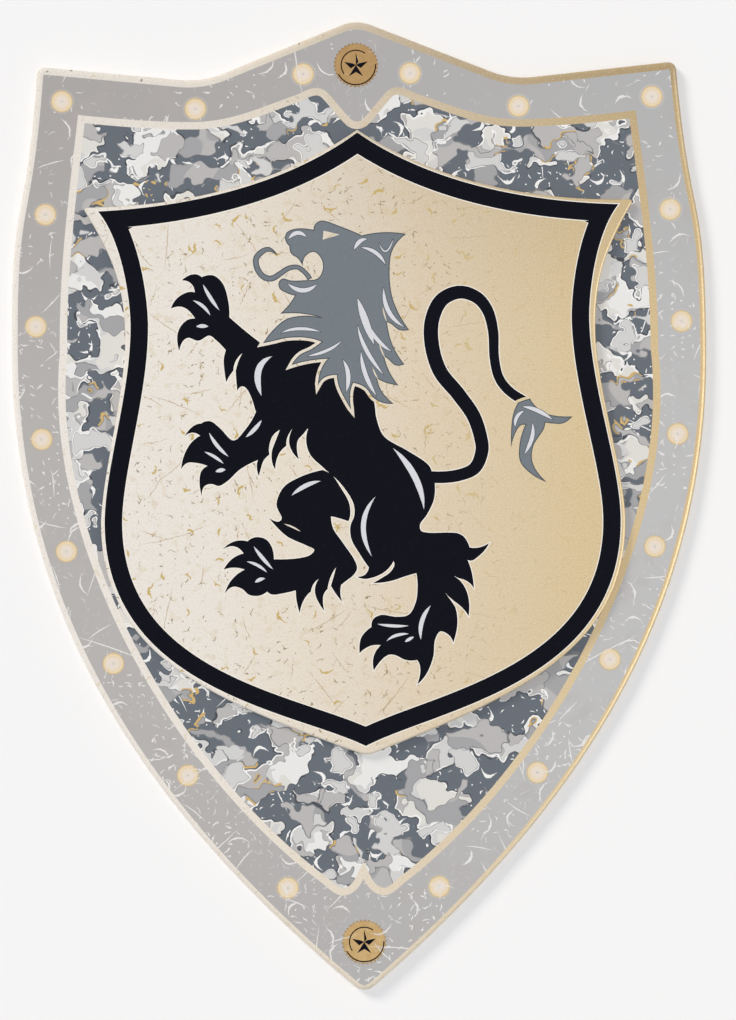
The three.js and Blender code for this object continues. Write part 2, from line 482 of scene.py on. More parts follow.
def chained(start, curves, step=OUTLINE_STEP):
    """Cubic curves end to end, each given by its two pulls and its end."""
    starts = [start] + [end for _, _, end in curves]
    return joined(*[cubic(begin, *curve, step) for begin, curve in zip(starts, curves)])


line_edge = mirrored(chained(LINE_TOP, LINE_CURVES))
board_coats.append((line_edge, "foil"))
board_coats.append((inset(line_edge, LINE_WIDTH), "camouflage"))

# The camouflage
# Printed inside the frame line: pale ground, mid grey and slate blobs with dark outlines and white
# halos, gold along some of their edges, and white ticks, hooks and scratches.
CAMO_GROUND = colour(231, 231, 229)
CAMO_STONE = colour(221, 219, 213)
CAMO_LIGHT = colour(208, 208, 207)
CAMO_MID = colour(184, 182, 181)
CAMO_MID_EDGE = colour(152, 151, 151)
CAMO_DEEP = colour(163, 163, 165)
CAMO_DEEP_EDGE = colour(122, 123, 126)
CAMO_SLATE = colour(99, 106, 115)
CAMO_SLATE_EDGE = colour(66, 69, 76)
CAMO_HALO = colour(240, 240, 238)
CAMO_GOLD = colour(206, 174, 112)
CAMO_TICKS = [
    (5.2, 2.6, 0.55, 0.25, 0.42, 42, 0.6),
    (4.1, 0.9, 0.7, 0, 0.3, 43, 0.2),
    (26, 20, 0.55, 0.002, 0.6, 41, 0.15),
]
CAMO_HOOKS = [(14, 8.5, 1.7, 0.2, 0.6, 44, 0.4)]
SLOPE_STEP = 0.4
LEAST_SLOPE = 0.002
DRIFT = 18.0
DRIFT_CLOUD = 8.5
DRIFT_LAYER = 50
ACROSS_SHARE, UP_SHARE = 0.8, 1.15  # blobs come out wider where the share is smaller
KNUCKLE = 4.5
KNUCKLE_MEAN = 0.09


def drifted(finish, east, north):
    """A place moved by cloudy noise and squashed, so that noise read there gives lobed blobs that
    are wider than they are tall."""
    x, y = finish.shaken(finish.x + east, finish.y + north, DRIFT, DRIFT_CLOUD, DRIFT_LAYER)
    return x * ACROSS_SHARE, y * UP_SHARE


def blobs(finish, places, size, level, layer):
    """The distance in millimetres into a blob: noise above its level, over the noise's slope.
    The slope comes from two more readings of the noise, a short step to the side and up."""
    here, east, north = (finish.noise(size, x, y, layer) for x, y in places)
    east, north = east - here, north - here
    slope = (east * east + north * north).maths("SQRT") / SLOPE_STEP
    return (here - level) / (slope + LEAST_SLOPE)


def camouflage_finish():
    """Coats from the ground up: stone, light and mid grey, slate with its halo and outline, more
    grey over it with gold along some edges, and white hooks, ticks and scratches. Each blob is
    swollen by the size of a finer noise, which gives it round knuckles with notches between."""
    finish = Finish("camouflage_print")
    places = [drifted(finish, *step) for step in ((0, 0), (SLOPE_STEP, 0), (0, SLOPE_STEP))]
    fine = (finish.noise(7, *places[0], 60) - 0.5).maths("ABSOLUTE")
    knuckles = fine * KNUCKLE - KNUCKLE * KNUCKLE_MEAN
    haloed = finish.blend(finish.noise(16, layer=540), 0.47, 0.5)

    def coat(tone, depth, inner, edge, edge_width, halo=0.0):
        if halo:
            outside = finish.blend(depth, -halo - 0.15, -halo + 0.15)
            tone = finish.mix(outside * haloed, tone, CAMO_HALO)
        tone = finish.mix(finish.blend(depth, -0.15, 0.1), tone, edge)
        return finish.mix(finish.blend(depth, edge_width - 0.1, edge_width + 0.15), tone, inner)

    def swollen(size, level, layer):
        return blobs(finish, places, size, level, layer) + knuckles

    tone = coat(CAMO_GROUND, swollen(19, 0.5, 100), CAMO_STONE, CAMO_STONE, 0)
    tone = coat(tone, swollen(15, 0.575, 150), CAMO_LIGHT, CAMO_LIGHT, 0)
    tone = coat(tone, swollen(16, 0.56, 200), CAMO_MID, CAMO_MID_EDGE, 0.3)
    slate = swollen(18, 0.488 - finish.blend(finish.y, 100, 160) * 0.026, 300)
    tone = coat(tone, slate, CAMO_SLATE, CAMO_SLATE_EDGE, 0.45, 0.7)
    ticks = finish.strokes(CAMO_TICKS) * finish.blend(finish.noise(16, layer=530), 0.42, 0.55)
    marks = finish.either(ticks, finish.strokes(CAMO_HOOKS))
    tone = finish.mix(marks * (slate > 0.6), tone, CAMO_HALO)
    over = swollen(14, 0.6, 400)
    gilt = finish.blend(finish.noise(15, layer=500), 0.67, 0.68)
    tone = finish.mix((over > -0.8) * gilt, tone, CAMO_GOLD)
    shade = finish.blend(finish.noise(21, layer=520), 0.47, 0.49)
    tone = coat(tone, over, finish.mix(shade, CAMO_MID, CAMO_DEEP), CAMO_DEEP_EDGE, 0.35)
    tone = coat(tone, swollen(10, 0.675, 600), CAMO_LIGHT, CAMO_MID_EDGE, 0.25, 0.6)
    return finish.print_surface(tone, 0.48)


# The printed rivets
# Twenty flat discs printed along the rim, each a gold ring round a cream dome with a dark dot in
# its middle. Their rows are level on both sides.
RIVET_RADIUS = 5.3
RIVET_REACH = 1.2  # how far its worn edge reaches, as a share of the radius
RIVET_RINGS = (RIVET_REACH, 1, 0.8, 0.6, 0.3, 0.08)  # shares where the mesh is cut
RING_END = 352  # degrees, and the last side closes the ring
RING_STEP = 1.0
RIVET_ROWS = {
    201.8: 146.3, 145.8: 154.9, 90.3: 160.1, 34.4: 157.7,
    -21.3: 145.9, -77.1: 123.1, -132.9: 86.7, -189.1: 37.5,
    214.4: 26.5, 197.6: 80.1,
}
rivet_places = np.array([x * side + 1j * y for y, x in RIVET_ROWS.items() for side in (-1, 1)])
for place in rivet_places:
    for share in RIVET_RINGS:
        board_coats.append((arc(place, share * RIVET_RADIUS, 0, RING_END, RING_STEP), "rivet"))
RIVET_STOPS = [
    (0.0, (140, 134, 126)), (0.07, (216, 208, 198)), (0.2, (232, 222, 212)), (0.55, (235, 220, 200)),
    (0.72, (230, 210, 178)), (0.8, (238, 220, 186)), (0.92, (226, 201, 154)), (1.0, (206, 184, 146)),
]


def rivet_finish():
    """Colour by the distance from the rivet's centre, which the mesh carries as an attribute, with
    grey past its speckled edge."""
    finish = Finish("rivet_print")
    out = finish.node("ShaderNodeAttribute", {"attribute_name": "from_centre"}).output("Fac")
    rough_out = out + (finish.noise(0.6, detail=2) - 0.5) * 0.5
    stops = [(share, colour(*tone)) for share, tone in RIVET_STOPS]
    tone = finish.ramp(out * 0.5 + rough_out * 0.5, stops)
    # The grey round each rivet carries the grey ink's painted light, lighter to the right
    grey = shaded(finish, GREY_LEFT, GREY_RIGHT)
    tone = finish.mix(finish.blend(rough_out, 1.0, 1.06), tone, grey)
    tone = scratched(finish, tone, 0.7)
    return finish.surface(Base_Color=tone, Roughness=0.45, Metallic=0.05)


# The printed star studs
# One in the peak and one in the tip: a gold disc with a toothed edge, two fine dark arcs, and a
# five-pointed star of black facets.
STUD_PLACES = (-0.3 + 218.7j, 0.1 - 216.2j)
STUD_RADIUS = 10.8
STUD_TOOTH = 0.5  # half its height
STUD_TEETH = 34
TOOTH_POINTS = 8
STUD_DIMS = (9.7, 11)  # between these radii the gold dims to the edge
STUD_END = 12
STAR_FACETS = (  # half the top point, the arms and the legs, each closed by the star's middle
    (1.3 + 1.5j, -0.1 + 6.2j),
    (2.4 - 1.5j, 5.9 + 1.7j, 1.5 + 0.9j),
    (-1.6 + 0.8j, -5.9 + 1.6j, -2.5 - 1.7j),
    (-3.6 - 5.6j, -3.5j, 3.5 - 5.6j),
)
ARC_WIDTH = 0.6
INNER_ARC = (7.3, 52, 216)  # radius, start and end in degrees
OUTER_ARC = (9.75, 207, 362)
ARC_STEP = 0.6


def toothed(centre):
    """A disc's edge whose radius swings in and out in straight runs, once for each tooth: its
    radius plus half a tooth times arcsin(sin(teeth a)) over a right angle."""
    angle = np.linspace(0, 2 * np.pi, STUD_TEETH * TOOTH_POINTS, endpoint=False)
    swing = STUD_TOOTH * (np.arcsin(np.sin(STUD_TEETH * angle)) / (np.pi / 2))
    return centre + (STUD_RADIUS + swing) * np.exp(1j * angle)


def ring_part(centre, radius, start, end):
    """A curved bar between two angles: an arc out and an arc back."""
    out = arc(centre, radius + ARC_WIDTH / 2, start, end, ARC_STEP)
    return joined(out, arc(centre, radius - ARC_WIDTH / 2, end, start, ARC_STEP))


for place in STUD_PLACES:
    board_coats.append((toothed(place), "gold"))
    board_coats.append((ring_part(place, *INNER_ARC), "black"))
    board_coats.append((ring_part(place, *OUTER_ARC), "black"))
    for facet in STAR_FACETS:
        board_coats.append((place + np.append(0, facet), "black"))
GOLD_LIGHT = colour(222, 190, 132)
GOLD_DARK = colour(186, 150, 96)
GOLD_TOP_SHADE = colour(166, 124, 76)
GOLD_EDGE = colour(140, 108, 66)


def gold_finish():
    """Gold ink: two golds in fine clouds, painted shade towards the top, darker round the toothed edge."""
    finish = Finish("gold_print")
    tone = finish.mix(finish.noise(2.4, detail=3), GOLD_DARK, GOLD_LIGHT)
    # Painted shade: the gold darkens towards the top, so the top stud is darker than the bottom one
    tone = finish.mix(finish.blend(finish.y, -200, 200) * 0.5, tone, GOLD_TOP_SHADE)
    for place in STUD_PLACES:
        x, y = finish.x - place.real, finish.y - place.imag
        out = (x * x + y * y).maths("SQRT")
        edge = finish.blend(out, *STUD_DIMS) * (out < STUD_END)
        tone = finish.mix(edge * 0.6, tone, GOLD_EDGE)
    tone = scratched(finish, tone, 0.7)
    return finish.surface(Base_Color=tone, Roughness=0.42, Metallic=0.15)


INK_BLACK = colour(12, 13, 23)
INK_DUST = colour(52, 54, 62)


def black_finish():
    """Dull black ink with fine dust in it."""
    finish = Finish("black_print")
    dust = finish.blend(finish.noise(1.1, detail=2), 0.62, 0.8)
    tone = finish.mix(dust * 0.4, INK_BLACK, INK_DUST)
    return finish.surface(Base_Color=tone, Roughness=0.45 + dust * 0.1, Specular_IOR_Level=0.1)


# The outer board itself
# A closed sheet in the plain board's place. Its edge is rounded over front and back, its front is
# cut along every print so that each takes its own ink, and its back is plain grey lacquer.
ARC_STEPS = 7  # points round a rounded edge
BACK_GREY = colour(168, 166, 164)
BACK_SCUFF = colour(190, 188, 186)
SCUFFS = [(40, 30, 0.8, 0.006, 0.3, 61, 0)]
JOIN = 1e-4  # nearer than this, two points of a drawing are one
WELD = 2e-6  # metres
MAP_MARGIN = 0.01  # shares of the map's side
EDGE_STRIP = 0.03


def back_finish():
    """Grey lacquer with soft clouds and a few pale scuffs."""
    finish = Finish("back_lacquer")
    clouds = finish.noise(60, detail=3)
    tone = finish.mix(clouds * 0.3 + finish.strokes(SCUFFS) * 0.4, BACK_GREY, BACK_SCUFF)
    grain = finish.noise(1.2, detail=4)
    rough = 0.55 + (grain - 0.5) * 0.15
    return finish.surface(Base_Color=tone, Roughness=rough, Normal=finish.bump(grain, 0.15, 0.2))


def rounded_profile(thickness, back_round, front_round, base):
    """The edge's section from the back face to the front: pairs of inset and height, with a
    quarter circle at each rounded corner."""
    turn = np.linspace(0, np.pi / 2, ARC_STEPS)
    front = front_round * (1 - np.cos(turn)), base + thickness - front_round * (1 - np.sin(turn))
    back = back_round * (1 - np.sin(turn)), base + back_round * (1 - np.cos(turn))
    return np.column_stack([np.append(back[0], front[0]), np.append(back[1], front[1])])


def inside(contour, spots):
    """True for spots that a contour goes round anticlockwise: its sides that pass to the spot's
    right going up, less those going down, leave more than 0."""
    ahead = np.roll(contour, -1)
    left = ((ahead - contour).conjugate() * (spots[:, None] - contour)).imag > 0
    over = spots.imag[:, None] >= contour.imag
    over_ahead = spots.imag[:, None] >= ahead.imag
    return (over & ~over_ahead & left).sum(1) > (~over & over_ahead & ~left).sum(1)


def flat_points(pairs):
    """Pairs of x and y as complex numbers."""
    return np.array([complex(*pair) for pair in pairs])


def cut_face(border, coats):
    """Triangles of a flat face cut along the contours, and for each the last coat laid on it."""
    contours = [border] + [anticlockwise(contour) for contour, _ in coats]
    points = np.concatenate(contours)
    starts = np.cumsum([0] + [len(contour) for contour in contours])
    here = np.arange(len(points))
    ahead = here + 1
    ahead[starts[1:] - 1] = starts[:-1]
    flat = list(map(Vector, np.column_stack([points.real, points.imag]).tolist()))
    made = delaunay_2d_cdt(flat, np.column_stack([here, ahead]).tolist(), [], 0, JOIN, False)
    spots = flat_points(made[0])
    triangles = np.array(made[2])
    middles = spots[triangles].mean(1)
    kept = inside(border, middles)
    triangles, middles = triangles[kept], middles[kept]
    laid = np.full(len(triangles), -1)
    for coat, contour in enumerate(contours[1:]):
        across = (middles.real > contour.real.min()) & (middles.real < contour.real.max())
        up = (middles.imag > contour.imag.min()) & (middles.imag < contour.imag.max())
        near = np.flatnonzero(across & up)
        laid[near[inside(contour, middles[near])]] = coat
    return spots, triangles, laid


def linked(name, data):
    """A new object in the scene."""
    thing = bpy.data.objects.new(name, data)
    bpy.context.scene.collection.objects.link(thing)
    return thing


def sheet_piece(name, outline, profile, coats, inks, base_ink, back_ink):
    """A closed sheet: rings of the outline at each inset and height of the edge's section, and a
    front face cut along its coats, each in its own ink."""
    rings = np.array([moved_in(outline, depth) for depth, _ in profile])
    heights = profile[:, 1]
    rows, count = rings.shape
    ring_points = np.stack([rings.real, rings.imag, np.repeat(heights[:, None], count, 1)], -1)
    here = (np.arange(rows - 1)[:, None] * count + np.arange(count)).ravel()
    ahead = (np.arange(rows - 1)[:, None] * count + (np.arange(count) + 1) % count).ravel()
    walls = np.column_stack([here, ahead, ahead + count, here + count])
    front, front_faces, front_coats = cut_face(rings[-1], coats)
    back, back_faces, _ = cut_face(rings[0], [])
    order = {ink: place for place, ink in enumerate(inks)}
    coat_inks = np.array([order[ink] for _, ink in coats] + [order[base_ink]])
    points = np.concatenate([
        ring_points.reshape(-1, 3),
        np.column_stack([front.real, front.imag, np.full(len(front), heights[-1])]),
        np.column_stack([back.real, back.imag, np.full(len(back), heights[0])]),
    ])
    front_faces = front_faces + rows * count
    back_faces = back_faces[:, ::-1] + rows * count + len(front)
    mesh = bpy.data.meshes.new(name)
    faces = walls.tolist() + front_faces.tolist() + back_faces.tolist()
    mesh.from_pydata((points / METRE).tolist(), [], faces)
    face_inks = np.full(len(faces), order[base_ink], np.int32)
    face_inks[len(walls):] = np.append(coat_inks[front_coats], np.full(len(back_faces), order[back_ink]))
    mesh.polygons.foreach_set("material_index", face_inks)
    mesh.polygons.foreach_set("use_smooth", np.arange(len(faces)) < len(walls))
    for ink in inks.values():
        mesh.materials.append(ink)
    lay_out(mesh, points, walls, front_faces, back_faces, rings[0], profile)
    solid = bmesh.new()
    solid.from_mesh(mesh)
    bmesh.ops.remove_doubles(solid, verts=solid.verts, dist=WELD)
    solid.to_mesh(mesh)
    solid.free()
    return linked(name, mesh)


def lay_out(mesh, points, walls, front_faces, back_faces, ring, profile):
    """The map that finishes are baked on: the front face fills its left part at true shape, the
    edge runs up a strip beside it, and the back face fills what is left on the right."""
    low = points.min(0)
    size = np.ptp(points, axis=0)
    height = 1 - 2 * MAP_MARGIN
    scale = height / size[1]
    strip = size[0] * scale + 2 * MAP_MARGIN
    right = strip + EDGE_STRIP + MAP_MARGIN
    back_scale = min((1 - MAP_MARGIN - right) / size[0], scale)
    front = (points[front_faces.ravel(), :2] - low[:2]) * scale + MAP_MARGIN
    back = (points[back_faces.ravel(), :2] - low[:2]) * back_scale + [right, MAP_MARGIN]
    count = len(ring)
    length = np.append(0, np.cumsum(abs(np.roll(ring, -1) - ring)))
    across = np.append(0, np.cumsum(np.hypot(*np.diff(profile, axis=0).T)))
    column = (walls % count).astype(float)
    column[:, 1:3] = column[:, [0, 3]] + 1
    edge = np.stack([
        strip + EDGE_STRIP * across[walls // count] / across[-1],
        MAP_MARGIN + height * length[column.astype(int)] / length[-1],
    ], -1)
    layer = mesh.uv_layers.new(name="OFBake")
    layer.data.foreach_set("uv", np.concatenate([edge.reshape(-1, 2), front, back]).ravel())


board_inks = {
    "foil": foil_finish("foil", 0.25),
    "grey": grey_finish(),
    "camouflage": camouflage_finish(),
    "rivet": rivet_finish(),
    "gold": gold_finish(),
    "black": black_finish(),
    "back": back_finish(),
}
board_profile = rounded_profile(BOARD_THICKNESS, BOARD_ROUND, BOARD_ROUND, 0)
board = sheet_piece(
    "outer_board_printed", board_edge, board_profile, board_coats, board_inks, "foil", "back"
)
spots = np.empty(len(board.data.vertices) * 3)
board.data.vertices.foreach_get("co", spots)
spots = spots.reshape(-1, 3) * METRE
reach = abs((spots[:, 0] + 1j * spots[:, 1])[:, None] - rivet_places).min(1) / RIVET_RADIUS
centre_share = board.data.attributes.new("from_centre", "FLOAT", "POINT")
centre_share.data.foreach_set("value", np.minimum(reach, RIVET_REACH))
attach(board, "root")
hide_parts("outer_board")

# The inner plate's outline
# A 4 mm board glued flat on the front, a little askew: a low peak, pointed upper corners, waisted
# sides and a blunt tip. It is foiled like the outer board.
PLATE_THICKNESS = 4.0
PLATE_ROUND = 1.2
PLATE_TOP = 186.4
PLATE_TOP_SLOPE = 34.0  # degrees below level
PLATE_TOP_PULL = 50.0
PLATE_CORNER = 136.6 + 149.9j
PLATE_CORNER_PULL = 47.0
PLATE_CORNER_RADIUS = 1.3
PLATE_FLANK_SLOPE = 59.4  # degrees below level
PLATE_FLANK_PULL = 29.0
WAIST = 116.5 + 85j
WAIST_PULL = 26.0
HIP = 129.9 - 8j
HIP_PULL_UP = 22.0
HIP_PULL_DOWN = 66.0
PLATE_TIP = -123.0
PLATE_TIP_SLOPE = 21.0  # degrees off level
PLATE_TIP_PULL = 73.0
PLATE_TIP_RADIUS = 12.0
PLATE_TURN = 0.4  # degrees anticlockwise
PLATE_SHIFT_X = 1.1
PLATE_TURN_CENTRE = 32j


def plate_outline():
    """Two cubic curves to the waist, past the corner's arc, two more to the tip, and its arc."""
    top = 1j * PLATE_TOP
    corner_pull = along(PLATE_CORNER, PLATE_CORNER_PULL, 180)
    edge_end = along(PLATE_CORNER, 3 * PLATE_CORNER_RADIUS, 180)
    flank_pull = along(PLATE_CORNER, PLATE_FLANK_PULL, PLATE_FLANK_SLOPE - 180)
    shoulder = cubic(top, along(top, PLATE_TOP_PULL, -PLATE_TOP_SLOPE), corner_pull, edge_end)
    corner_arc = round_corner(edge_end, PLATE_CORNER, flank_pull, PLATE_CORNER_RADIUS)
    flank = cubic(corner_arc[-1], flank_pull, along(WAIST, WAIST_PULL, 90), WAIST)
    side = cubic(WAIST, along(WAIST, WAIST_PULL, -90), along(HIP, HIP_PULL_UP, 90), HIP)
    tip_centre = 1j * (PLATE_TIP + PLATE_TIP_RADIUS)
    tip = arc(tip_centre, PLATE_TIP_RADIUS, PLATE_TIP_SLOPE - 90, -90)
    tip_pull = along(tip[0], PLATE_TIP_PULL, PLATE_TIP_SLOPE)
    foot = cubic(HIP, along(HIP, HIP_PULL_DOWN, -90), tip_pull, tip[0])
    return mirrored(joined(shoulder, corner_arc, flank, side, foot, tip))


def askew(outline, degrees, shift):
    """An outline turned about a point on the axis and shifted sideways."""
    turn = np.exp(1j * math.radians(degrees))
    return (outline - PLATE_TURN_CENTRE) * turn + PLATE_TURN_CENTRE + shift


plate_edge = askew(plate_outline(), PLATE_TURN, PLATE_SHIFT_X)

# The black border
# A black band printed on the plate, turned and shifted a little less than the plate is, so that the
# strip of foil outside it is wider on one side than on the other.
BORDER_WIDTH = 8.7
BORDER_TURN = 0.32
BORDER_SHIFT_X = 0.9
BORDER_TOP = 185j
BORDER_CURVES = [  # to the corner, the waist, the hip and the tip
    (36 + 159.2j, 84.3 + 149.3j, 128.9 + 147.7j),
    (118.5 + 134.8j, 114 + 109.6j, 113.6 + 92.2j),
    (113.6 + 57.9j, 127.8 + 19.7j, 127.8 - 7.9j),
    (127.8 - 89.6j, 35.1 - 101.1j, -118.9j),
]
HALO = 0.45

border = askew(mirrored(chained(BORDER_TOP, BORDER_CURVES)), BORDER_TURN, BORDER_SHIFT_X)
plate_coats = [
    (inset(border, -HALO), "halo"),
    (border, "black"),
    (inset(border, BORDER_WIDTH), "halo"),
    (inset(border, BORDER_WIDTH + HALO), "foil"),
]

# The lion
# A rampant lion in black and slate inks, cut by pale and bare slits that draw its muscles, claws
# and mane. Its points are pairs of x and y. Every row of points starts at a sharp point and runs
# smoothly to the next row's first.
LION_STEP = 0.9
BRUSH_STEP = 0.8
UPPER_FORELEG = [
    [(-48.5, 81), (-56, 87)], [(-64, 94), (-64.5, 102), (-67, 110.5), (-71, 114.5), (-74, 115)],
    [(-77.5, 114), (-81.5, 115.5)], [(-87.5, 112.5), (-83, 111)],
    [(-81, 106.5), (-85, 106.5), (-90, 103.5)], [(-93, 98.5), (-89, 99.5), (-85.5, 98.5)],
    [(-81, 93.5), (-85.5, 92.5), (-89.5, 87)],
    [(-89, 77.5), (-87, 82.5), (-84.5, 84), (-79.5, 82.5), (-74, 85), (-70.5, 82.5)],
    [(-65.9, 77.7), (-67, 73), (-66.6, 66.5)], [(-65.8, 61.8), (-64.6, 64.3)],
    [(-62.3, 67.5), (-61, 72.4)], [(-57.8, 76.1), (-59.8, 71.9)], [(-61.1, 67.5), (-60.9, 63)],
    [(-60.4, 57.3), (-59.1, 59.3), (-57.4, 59.7), (-55.4, 58)],
    [(-51.5, 47.5), (-39, 43), (-22, 55.5), (-14, 72), (-17, 84), (-28, 86), (-40, 84.5)],
]
LOWER_FORELEG = [
    [(-51.5, 46.5), (-56.5, 38.5), (-62.5, 33), (-69, 39), (-73.5, 42.5), (-76.5, 42.5)],
    [(-78.5, 41.5), (-82, 40.5)], [(-87, 35), (-83, 37)], [(-79, 35.5), (-83.5, 32), (-87, 26)],
    [(-88.5, 19), (-85.5, 22), (-81, 22)], [(-75.5, 20.5), (-78.5, 18), (-79.5, 13.5)],
    [(-78.5, 5.5), (-77, 10.5), (-73.5, 11.5), (-70, 10.5), (-65.5, 13), (-59.5, 18.5)],
    [(-50.5, 23.2), (-51.1, 19.8)], [(-50.1, 15.1), (-49.1, 18.8), (-47.6, 23)],
    [(-44.8, 25.7), (-44.8, 30.1), (-43, 35.1)],
    [(-39.5, 38), (-41.5, 33.1), (-43.6, 27.2), (-43.4, 21.7)],
    [(-41.9, 18.5), (-41.4, 22.7), (-39.6, 26.9)], [(-36.3, 30.1), (-35.9, 34)],
    [(-33.3, 38.5), (-34.9, 34), (-34.8, 30.5), (-33.1, 26.6)],
    [(-30.2, 23.3), (-31.1, 28), (-31, 31.5)], [(-30.1, 33.7), (-27.9, 35.9)],
    [(-25.9, 38.4), (-15, 43), (-24, 57.5), (-43, 58.5)],
]
TRUNK = [
    [(1.5, 64), (7, 52.5), (8.5, 43), (12, 34.5), (24, 27), (33.5, 20.5)],
    [(35.5, 17), (37, 11), (36.5, 3), (33, -4.5), (29.5, -9.5), (30, -12.5), (34, -13.5),
     (43.5, -13.5), (48.5, -14), (51.5, -16)],
    [(54, -21), (58.5, -21)], [(63.7, -18.9), (61.1, -22.8), (57.6, -26), (55.2, -27.5)],
    [(52.9, -27.2), (54.9, -33.2)], [(55.9, -41.4), (54.1, -38.9), (51.4, -37.1), (47.6, -35.8)],
    [(43.7, -33), (46.7, -35.4)], [(49.4, -37.6), (52.3, -42.6), (53.5, -48.1)],
    [(53.2, -55), (50.7, -51.5), (48, -49), (44.6, -46.3)], [(41.3, -42.9), (43.8, -46.2)],
    [(46.5, -50.2), (47.5, -54.5), (47.5, -60)],
    [(45.5, -68), (43, -64), (39, -62.5), (36.5, -66.5), (35.5, -75), (32, -83.5)],
    [(27.5, -88.5), (29, -80.5)], [(27.5, -76.5), (22, -76.5), (16.5, -74), (13, -74)],
    [(6, -81.5), (6, -74.5)], [(9.5, -69), (4, -69.5)], [(-1, -73), (0, -65), (3.5, -61)],
    [(5, -60), (6, -56), (10, -54), (17.5, -55), (23.5, -54), (27, -48), (28, -40.5)],
    [(27.5, -33.5), (22, -35), (16, -37), (10.5, -38)],
    [(5.9, -38.2), (10.5, -35.6), (14.5, -32.9), (16.6, -29.5)],
    [(16.2, -27.4), (14.3, -30.4), (10.8, -33.4), (5.5, -35.6), (1.5, -36.1)],
    [(-2, -35), (2, -34)],
    [(4, -30.5), (0, -24.5), (-4.5, -16.5), (-5, -10), (-3, -4.5), (-3.5, 1.5), (-9.5, 11),
     (-18, 19), (-24.5, 25.5), (-26.5, 32)],
    [(-25.5, 38.5), (-32, 47), (-29, 64), (-14.5, 76.5)],
]
RAISED_LEG = [
    [(-18.5, 18), (-30, 14.5), (-38, 9.5), (-41.5, 1), (-39, -6)], [(-41, -7.5), (-44.5, -6)],
    [(-47, -3), (-42, -9.5), (-36, -15), (-26.5, -19.5), (-23, -21.5), (-25, -24), (-30.5, -25.5)],
    [(-43, -26), (-44, -20), (-47, -16), (-52, -15)], [(-56, -17), (-62.5, -17)],
    [(-68.5, -21), (-62.5, -19.5)], [(-58, -23), (-63.5, -25.5)], [(-68, -31), (-63, -30)],
    [(-57.5, -31), (-64, -36)],
    [(-67.5, -43), (-63.5, -39.5), (-59, -40.5), (-55.5, -43.5), (-50.5, -44)],
    [(-46.5, -42), (-44, -43.5), (-39, -43)], [(-32.3, -41.5), (-32, -46.3)],
    [(-30.5, -52.8), (-29.1, -47.9), (-27.1, -44.4)], [(-24.8, -42.2), (-23.5, -38.5)],
    [(-21, -36), (-22.7, -40), (-22.6, -43.9), (-20.6, -48.4)],
    [(-18.2, -51.9), (-18.9, -46.9), (-18.4, -43.5)], [(-16.6, -41), (-14.8, -34.6)],
    [(-12.3, -30.4), (-13.6, -35.1)], [(-14.9, -39.3), (-12.4, -43.5)], [(-9.2, -47.5), (-10.2, -43.6)],
    [(-9.8, -39), (-7.4, -37.1), (-3.9, -34.4), (-1.9, -31.2), (-2.6, -27.7), (-8.5, -18.5), (-13.5, -11)],
    [(-14.5, -5), (-10.5, -6)], [(-6, -7.5), (-5, -4.5), (-5.5, 1.5), (-9.5, 9), (-14, 15.5)],
]
HEAD = [
    [(-39, 95.5), (-34.5, 100)],
    [(-31.5, 104.5), (-35, 105.5), (-39, 108), (-39.5, 111), (-37.5, 113), (-33.5, 112),
     (-27.5, 112), (-20, 113), (-17.5, 118), (-18.5, 123), (-22, 126), (-26, 124)],
    [(-27.5, 119), (-30, 123), (-33, 125)], [(-34, 129), (-36, 132), (-35.5, 135.5), (-31.5, 137.5)],
    [(-22, 137), (-21, 140), (-18, 141.5), (-8.5, 138.5)], [(2, 134), (13, 135.5)],
    [(24, 134.5), (19.5, 130.5), (16.5, 125), (15.5, 115), (16.5, 104.5), (19.5, 96)],
    [(25, 87), (20, 87), (16, 90)], [(14, 91), (16, 81.5), (19, 75)],
    [(22.5, 70), (18, 69.5), (14.5, 72.5)], [(12.5, 74), (15, 66.5)], [(19.5, 59.5), (13, 61)],
    [(9, 63), (11, 57)], [(17, 50.5), (11.5, 51), (7, 53.5), (3, 58.5)], [(-3, 61), (-4.5, 55.5)],
    [(-4, 47.5), (-8.5, 55.5), (-10.5, 60.5)], [(-11, 65), (-17.5, 63.5)],
    [(-20.5, 59.5), (-19, 67.5)], [(-15.5, 73), (-25.5, 72)],
    [(-33.5, 70), (-29.5, 75), (-23.5, 78)], [(-18.5, 81.5), (-26, 83.5), (-35.5, 83.5), (-42.5, 82)],
    [(-47.5, 81), (-42, 88), (-35.5, 93), (-26, 94.5)], [(-19, 93.5), (-28.5, 95.5)],
]
TUFT = [
    [(78.5, 50.5), (81, 51.5)], [(84.5, 52.5), (87.5, 48.5), (92.5, 45)],
    [(105.5, 43.5), (100.5, 40), (96, 40)], [(92, 40.5), (91, 37), (86, 29), (85.5, 21)],
    [(92.5, 11), (85, 15), (79.5, 21), (79, 29)], [(82, 39.5), (79.5, 39), (76.5, 34)],
    [(75, 28), (75, 36.5), (76, 44.5)],
]
TONGUE = [
    (-24, 112.5), (-26.5, 116), (-30, 118.5), (-34.5, 118), (-38.5, 115.5), (-43, 113), (-47, 114),
    (-50, 118), (-50.5, 123), (-48, 126), (-44.5, 127.5), (-40, 124.5),
]
TONGUE_WIDTHS = [2.6, 2.4, 2.4, 2.6, 2.8, 3, 3, 3, 3, 3, 2.2, 0.2]
TAIL = [
    (35.5, 14), (49.5, 15), (57, 18.5), (60.5, 27), (60, 33), (56.5, 44), (49, 55), (40, 66.5),
    (36, 80.5), (36.5, 92.5), (41.5, 102), (50.5, 105.5), (59, 102.5), (64, 96), (66.5, 86),
    (67, 73), (69, 63.5), (73, 57.5), (81.5, 51.5),
]
TAIL_WIDTHS = [5.8, 5.9, 6.5, 6.8, 7, 7.1, 7.2, 7, 6.3, 5.4, 4.8, 4.7, 4.7]
